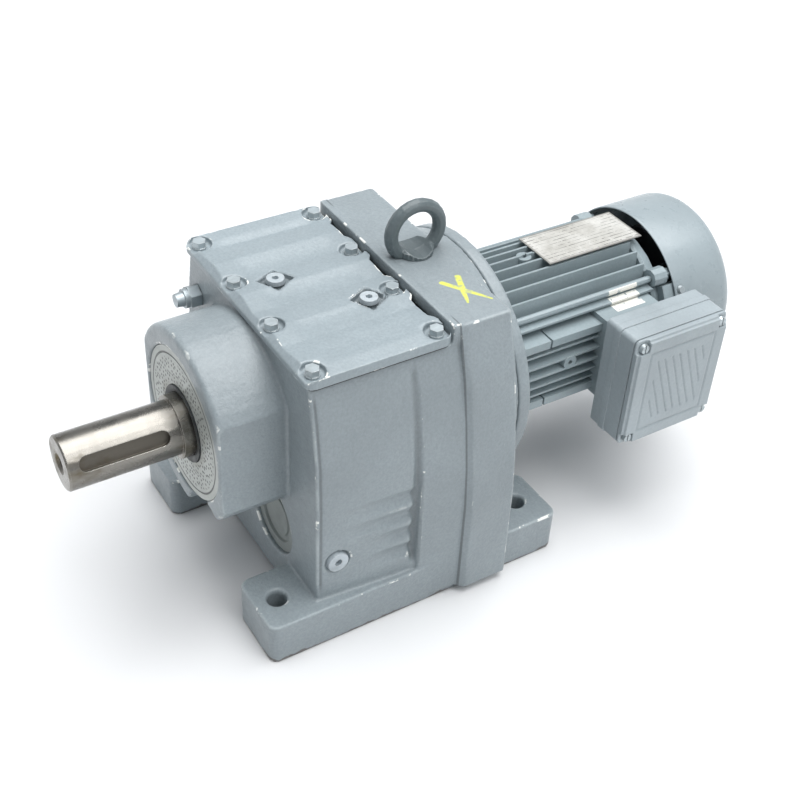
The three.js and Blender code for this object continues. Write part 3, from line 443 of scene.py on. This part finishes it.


# one blue-grey paint on case, cover, motor, guard and terminal box; each base is set lighter or darker, the
# box's palest, as painted light for how light falls on each part
CASE = (0.252, 0.292, 0.311, 1.0)
COVER = (0.268, 0.316, 0.340, 1.0)
MOTOR = (0.262, 0.318, 0.338, 1.0)
GUARD = (0.268, 0.315, 0.335, 1.0)
BOX = (0.312, 0.358, 0.380, 1.0)
EYEBOLT = colour(92, 103, 106)
LOOKS = {
    "case_cast": paint("case_cast", CASE, dense=True, grain=1.7, chips=0.7,
                       marks=(worn_feet, groove_shade, painted_cross)),
    "cover_cast": paint("cover_cast", COVER, dense=True, grain=1.1, chips=1.0, marks=(pocket_dirt_and_shade,)),
    "case_paint": paint("case_paint", CASE),
    "motor_paint": paint("motor_paint", MOTOR, grain=0.6, chips=0.3, marks=(blank_sticker,)),
    "guard_paint": paint("guard_paint", GUARD, grain=0.35, roughness=0.3, chips=0.0),
    "box_paint": paint("box_paint", BOX, grain=0.6, chips=0.15),
    "painted_plug": metal("painted_plug", colour(188, 197, 202), colour(110, 116, 118), stains=0.4,
                          metallic=0.35),
    "zinc_fastener": metal("zinc_fastener", colour(186, 196, 200), colour(96, 100, 98), stains=0.45,
                           metallic=0.55),
    "eyebolt_paint": paint("eyebolt_paint", EYEBOLT, dense=True, grain=0.9, roughness=0.4, chips=0.08),
    "gasket": dull("gasket", colour(58, 62, 63), 0.62),
    "cap_rubber": dull("cap_rubber", colour(46, 50, 51), 0.5),
    "cap_face": dull("cap_face", colour(128, 134, 132), 0.42),
    "shaft_steel": metal("shaft_steel", colour(140, 137, 131), colour(92, 82, 60), roughness=0.25,
                         turned=2400.0, stains=0.8, marks=(keyway_darkening,)),
    "gear_steel": metal("gear_steel", colour(168, 166, 162), colour(92, 82, 66), roughness=0.3, stains=0.4),
    "seal_plate": dimpled("seal_plate", colour(182, 186, 182)),
    "copper": metal("copper", colour(184, 104, 62), colour(96, 52, 34), roughness=0.32),
    "black_plastic": dull("black_plastic", colour(40, 43, 45), 0.45),
    "plate_aluminium": plate("plate_aluminium"),
}

# material slot of each node; those not listed are gear_steel
SLOTS = {
    "case_paint": ["gear_case", "gear_case_cover", "motor_flange"],
    "motor_paint": ["stator_housing", "rear_endshield"],
    "guard_paint": ["fan_guard"],
    "box_paint": ["terminal_box", "terminal_box_cover"],
    "painted_plug": ["cover_plug_1", "cover_plug_2", "side_oil_plug"],
    "zinc_fastener": ["breather_valve"],
    "eyebolt_paint": ["lifting_eyebolt"],
    "gasket": ["cover_gasket"],
    "cap_rubber": ["closing_cap", "output_shaft_seal", "motor_shaft_seal"],
    "shaft_steel": ["output_shaft", "rotor_shaft"],
    "seal_plate": ["output_seal_plate"],
    "copper": ["stator_winding"],
    "black_plastic": ["cooling_fan", "cable_entry_plug"],
    "plate_aluminium": ["rating_plate"],
}
FASTENERS = ("bolt_", "screw", "tie_rod")
SLOTS["zinc_fastener"] += [name for name in nodes if any(kind in name for kind in FASTENERS)]
slot_of = {name: slot for slot, names in SLOTS.items() for name in names}

# nodes that look unlike their slot
OTHER_LOOK = {"closing_cap": "cap_face", "tie_rod": "motor_paint"}

for name, node in nodes.items():
    slot = slot_of.get(name, "gear_steel")
    node.data.materials.clear()
    node.data.materials.append(LOOKS[OTHER_LOOK.get(name.rstrip("_0123456789"), slot)])
    if "custom_normal" in node.data.attributes:
        node.data.attributes.remove(node.data.attributes["custom_normal"])
    for face in node.data.polygons:
        face.use_smooth = True
    node.modifiers.new("weld", "WELD").merge_threshold = SAME_POINT
    node.modifiers.new("creases", "EDGE_SPLIT").split_angle = math.radians(32)


# ------------------------------------------------------------------ pieces
def add_object(name, mesh):
    """Puts a mesh into the scene as an object of its own."""
    made = bpy.data.objects.new(name, mesh)
    bpy.context.scene.collection.objects.link(made)
    return made


def stand_for(piece, node, slot, look=None):
    """Finishes a smooth piece on the housing that replaces a node; without a look it takes its slot's."""
    for face in piece.data.polygons:
        face.use_smooth = True
    piece.data.materials.clear()
    piece.data.materials.append(LOOKS[look or slot])
    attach(piece, "housing")
    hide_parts(node)


def settle(piece):
    """Turns a piece's modifiers into plain mesh."""
    graph = bpy.context.evaluated_depsgraph_get()
    mesh = bpy.data.meshes.new_from_object(piece.evaluated_get(graph))
    piece.modifiers.clear()
    piece.data = mesh


def cast(name, node, slot, look=None, voxel=1.0, passes=3, shape=None, keep=1.0):
    """A finer body in place of a node, with the soft edges of a casting.

    voxel is the grid size in mm, passes how often the surface is smoothed, and keep the share of faces that
    stay. shape gives each point's move in mm from its place in mm and its normal.
    """
    mesh = bpy.data.meshes.new(name)
    work = bmesh.new()
    work.from_mesh(nodes[node].data)
    bmesh.ops.remove_doubles(work, verts=work.verts, dist=SAME_POINT)
    work.to_mesh(mesh)
    work.free()
    piece = add_object(name, mesh)
    grid = piece.modifiers.new("grid", "REMESH")
    grid.mode = "VOXEL"
    grid.voxel_size = voxel * MM
    soften = piece.modifiers.new("soften", "SMOOTH")
    soften.factor = 0.5
    soften.iterations = passes
    settle(piece)
    if shape:
        vertices = piece.data.vertices
        normals = [vertex.normal.copy() for vertex in vertices]
        for vertex, normal in zip(vertices, normals):
            vertex.co += shape(vertex.co / MM, normal) * MM
        piece.data.update()
    if keep < 1:
        piece.modifiers.new("fewer", "DECIMATE").ratio = keep
        settle(piece)
    stand_for(piece, node, slot, look)


def ease(value, a, b):
    """0 before a and 1 after b, with a smooth rise between them."""
    share = min(1.0, max(0.0, (value - a) / (b - a)))
    return share * share * (3 - 2 * share)


def ripple(value, start, pitch):
    """A wave between 0 and 1 that is 1 at start and again after each pitch."""
    return 0.5 + 0.5 * math.cos(2 * math.pi * (value - start) / pitch)


def side_ribs(p, n):
    """Soft grooves low on each side panel, the crease behind them, and the groove at the front corner."""
    side = abs(n.x)
    if side < 0.5 or not -101 < p.y < -1 or abs(p.x) < 88 or p.z < 46:
        return Vector()
    depth = 0.0
    if 60.3 < p.z < 145.7:
        front = -60 if p.z < 108 else -94  # the lower two grooves are shorter
        across = ripple(p.z, start=71, pitch=21.33)
        depth = 4.3 * across * ease(p.y, front, -14) * (1 - ease(p.y, -9, -4))
    upright = (1 - ease(p.z, 255, 268)) * ease(p.z, 46, 60)
    crease = math.exp(-((p.y - CREASE_Y / MM) / 3.3) ** 2) * (1.4 + 2.6 * (1 - ease(p.z, 60, 230)))
    corner = math.exp(-((p.y - CORNER_Y / MM) / 1.8) ** 2)
    depth = (depth + (crease + corner) * upright) * ease(side, 0.5, 0.75)
    return Vector((-math.copysign(depth, n.x), 0, 0))


def knurl(p, n):
    """Shallow upright flutes round the collar of the eyebolt."""
    eye_y, flutes = 66, 26
    x, y = p.x, p.y - eye_y
    radius = math.hypot(x, y)
    if not 289.5 <= p.z <= 297.5 or radius < 15 or abs(n.z) > 0.6:
        return Vector()
    depth = 0.45 * ripple(flutes * math.atan2(y, x), start=0, pitch=2 * math.pi)
    return Vector((-x / radius * depth, -y / radius * depth, 0))


def cover_waves(p, n):
    """Deepens the long waves of the cover between its bolts, and the pockets round its socket plugs."""
    if n.z < 0.6 or p.z < 279:
        return Vector()
    wave_depth, pocket_depth = 1.3, 1.4
    inside = ease(p.y, -86, -70) * (1 - ease(p.y, 4, 18)) * (1 - ease(abs(p.x), 92, 106))
    depth = wave_depth * (1 - ripple(p.x, start=-118, pitch=47.2)) * inside
    for plug in PLUGS:
        off = Matrix.Rotation(-POCKET_TURN, 2) @ (p.xy * MM - plug.xy)
        if max(abs(off.x), abs(off.y)) < POCKET_HALF:
            depth += pocket_depth
    return Vector((0, 0, -depth))


def box_pattern(p, n):
    """An engraved frame and slanted bars on the terminal box cover."""
    if n.x < 0.6 or p.x < 142:
        return Vector()
    middle_y, middle_z, half_y, half_z = 275, 165, 40.0, 46.0
    y, z = p.y - middle_y, p.z - middle_z
    out = max(abs(y) / half_y, abs(z) / half_z)
    across = (y * 0.94 + z * 0.34 + 60) % 17
    on_frame = 0.955 < out < 1.0
    on_bar = abs(z) < 34 and abs(y) < 31 and (across < 1.7 or 9.0 < across < 10.7)
    depth = 0.9 if on_frame or on_bar else 0.0
    return Vector((-depth, 0, 0))


cast("gear_case_cast", "gear_case", "case_paint", "case_cast", voxel=1.35, shape=side_ribs, keep=0.2)
cast("gear_case_cover_cast", "gear_case_cover", "case_paint", "cover_cast", shape=cover_waves, keep=0.5)
cast("motor_flange_cast", "motor_flange", "case_paint", voxel=1.6, keep=0.6)
cast("terminal_box_cover_cast", "terminal_box_cover", "box_paint", shape=box_pattern)
cast("lifting_eyebolt_forged", "lifting_eyebolt", "eyebolt_paint", voxel=0.7, passes=4, shape=knurl,
     keep=0.7)


# ------------------------------------------------------------------ fan guard
def spin(work, profile, turns, axis_z=0.0, closed=True):
    """Adds a body of revolution about a line along Y.

    profile holds (radius, y) in mm, turns is the number of steps round the line, axis_z the line's height
    in metres, and closed joins the profile's ends.
    """
    rows = []
    for i in range(turns):
        turn = 2 * math.pi * i / turns
        rows.append([work.verts.new((radius * math.cos(turn) * MM, y * MM,
                                     axis_z + radius * math.sin(turn) * MM)) for radius, y in profile])
    for i in range(turns):
        row, following = rows[i], rows[(i + 1) % turns]
        for j in range(len(profile) if closed else len(profile) - 1):
            k = (j + 1) % len(profile)
            work.faces.new((row[j], row[k], following[k], following[j]))


def bend(radius, rear, turn_radius):
    """Points of the bend from the side wall at radius round to the face at rear."""
    steps = 10
    turns = [i * math.pi / 2 / steps for i in range(steps + 1)]
    middle = (radius - turn_radius, rear - turn_radius)
    return [(middle[0] + turn_radius * math.cos(turn), middle[1] + turn_radius * math.sin(turn))
            for turn in turns]


def ring_section(radius, rear):
    """Section of one ring of the grille, with bevelled corners, just inside the rear face."""
    return [(radius + side, rear - inwards) for side, inwards in (
        (-1.5, 1.6), (-1.0, 2.0), (1.0, 2.0), (1.5, 1.6), (1.5, 0.6), (1.0, 0.2), (-1.0, 0.2), (-1.5, 0.6))]


def guard_body():
    """Pressed sheet with a rolled rim, and a grille of rings, ribs and a dished hub."""
    radius, front, rear, sheet, turn_radius = 88.5, 326.0, 400.0, 2.0, 16.0
    inner_radius, inner_rear = radius - sheet, rear - sheet
    rim = [(86.7, 324.6), (87.1, 324.1), (87.9, 324.1), (88.3, 324.6), (radius, front)]
    opening = [(60.0, rear), (58.6, rear - 0.4), (58.6, rear - 1.6), (60.0, inner_rear)]
    outside = bend(radius, rear, turn_radius)
    inside = bend(inner_radius, inner_rear, turn_radius - sheet)
    work = bmesh.new()
    shell = rim + outside + opening + inside[::-1] + [(inner_radius, front)]
    spin(work, shell, turns=128, axis_z=MOTOR_Z)
    for ring_radius in (24.5, 31.5, 38.5, 45.5, 52.5):
        spin(work, ring_section(ring_radius, rear), turns=96, axis_z=MOTOR_Z)
    hub = [(0.05, inner_rear), (16.5, inner_rear), (17.5, rear - 1.4), (17.5, rear - 0.6), (16.5, rear),
           (6.0, rear), (4.5, rear - 0.8), (0.05, rear - 0.8)]
    spin(work, hub, turns=72, axis_z=MOTOR_Z)
    ribs = 8
    for i in range(ribs):
        turn = 2 * math.pi * (i + 0.5) / ribs
        place = Matrix.Translation((0, (rear - 1.3) * MM, MOTOR_Z)) @ Matrix.Rotation(turn, 4, "Y")
        shift = Matrix.Translation((38 * MM, 0, 0))
        bar = Matrix.Diagonal((44 * MM, 1.4 * MM, 4 * MM, 1))
        bmesh.ops.create_cube(work, size=1.0, matrix=place @ shift @ bar)
    bmesh.ops.recalc_face_normals(work, faces=work.faces)
    mesh = bpy.data.meshes.new("fan_guard_sheet")
    work.to_mesh(mesh)
    work.free()
    return mesh


guard = add_object("fan_guard_sheet", guard_body())
guard.modifiers.new("creases", "EDGE_SPLIT").split_angle = math.radians(40)
stand_for(guard, "fan_guard", "guard_paint", "guard_paint")


# ------------------------------------------------------------------ studio
def make_floor():
    """A pale paper floor that curves up into a wall all round."""
    flat, curve, top, steps = 4000.0, 2000.0, 2700.0, 12
    sweep = [(0.05, 0.0), (flat / 2, 0.0), (flat, 0.0)]
    for i in range(1, steps + 1):
        turn = i * math.pi / 2 / steps
        sweep.append((flat + curve * math.sin(turn), curve - curve * math.cos(turn)))
    sweep.append((flat + curve, top))
    work = bmesh.new()
    spin(work, sweep, turns=96, closed=False)
    bmesh.ops.recalc_face_normals(work, faces=work.faces)
    mesh = bpy.data.meshes.new("floor")
    work.to_mesh(mesh)
    work.free()
    for face in mesh.polygons:
        face.use_smooth = True
    paper = Shader("paper")
    cloud = paper.spread(paper.noise(1.3, 2.0), 0.3, 0.7)
    paper.set(Base_Color=paper.mix(cloud, (0.72, 0.725, 0.73, 1), (0.75, 0.755, 0.76, 1)),
              Roughness=paper.spread(paper.noise(3.0, 2.0), 0.3, 0.7, 0.55, 0.7))
    mesh.materials.append(paper.material)
    floor = add_object("floor", mesh)
    floor.rotation_euler.x = math.radians(90)
    floor.location.z = low.z - 0.4 * MM


def make_sky():
    """Soft light from all round, brighter from above."""
    world = bpy.data.worlds.new("studio")
    bpy.context.scene.world = world
    world.use_nodes = True
    tree = world.node_tree
    tree.nodes.clear()
    out = tree.nodes.new("ShaderNodeOutputWorld")
    glow = tree.nodes.new("ShaderNodeBackground")
    way = tree.nodes.new("ShaderNodeTexCoord")
    parts = tree.nodes.new("ShaderNodeSeparateXYZ")
    height = tree.nodes.new("ShaderNodeMapRange")
    tint = tree.nodes.new("ShaderNodeMix")
    tint.data_type = "RGBA"
    below, above = tint.inputs[6], tint.inputs[7]
    below.default_value = (0.34, 0.36, 0.38, 1)
    above.default_value = (0.86, 0.90, 0.95, 1)
    height.inputs["From Min"].default_value = -0.05
    height.inputs["From Max"].default_value = 0.75
    glow.inputs["Strength"].default_value = 0.50
    tree.links.new(way.outputs["Generated"], parts.inputs[0])
    tree.links.new(parts.outputs["Z"], height.inputs["Value"])
    tree.links.new(height.outputs[0], tint.inputs[0])
    tree.links.new(tint.outputs[2], glow.inputs["Color"])
    tree.links.new(glow.outputs[0], out.inputs["Surface"])


def lamp(name, place, aim, size, power):
    """A square area light at place that points at aim."""
    data = bpy.data.lights.new(name, "AREA")
    data.size = size
    data.energy = power
    light = add_object(name, data)
    light.location = place
    light.rotation_euler = (Vector(aim) - Vector(place)).to_track_quat("-Z", "Y").to_euler()


def make_camera():
    """A camera to the right of the shaft end and above it, tilted a little."""
    azimuth, elevation, roll = (math.radians(angle) for angle in (56.5, 38.7, 3.3))
    target = Vector((0.0356, 0.0366, 0.155))
    distance = 1.1755
    back = Vector((math.sin(azimuth) * math.cos(elevation), -math.cos(azimuth) * math.cos(elevation),
                   math.sin(elevation)))
    level = (-back).cross(Vector((0, 0, 1))).normalized()
    upward = level.cross(-back)
    right = level * math.cos(roll) + upward * math.sin(roll)
    up = upward * math.cos(roll) - level * math.sin(roll)
    data = bpy.data.cameras.new("camera")
    data.lens = 57.0
    data.clip_start = 0.05
    camera = add_object("camera", data)
    camera.matrix_world = Matrix.Translation(target + back * distance) @ Matrix(
        (right, up, back)).transposed().to_4x4()
    bpy.context.scene.camera = camera


make_floor()
make_sky()
lamp("overhead", (-0.25, 0.8, 4.4), aim=(0, 0.05, 0.1), size=4.6, power=286)
lamp("front_left", (-1.9, -1.6, 1.2), aim=(0, -0.05, 0.15), size=1.4, power=1.5)
lamp("back_right", (1.9, 0.7, 2.3), aim=(0, 0, 0.1), size=1.5, power=24)
make_camera()
bpy.context.scene.view_settings.view_transform = "Standard"
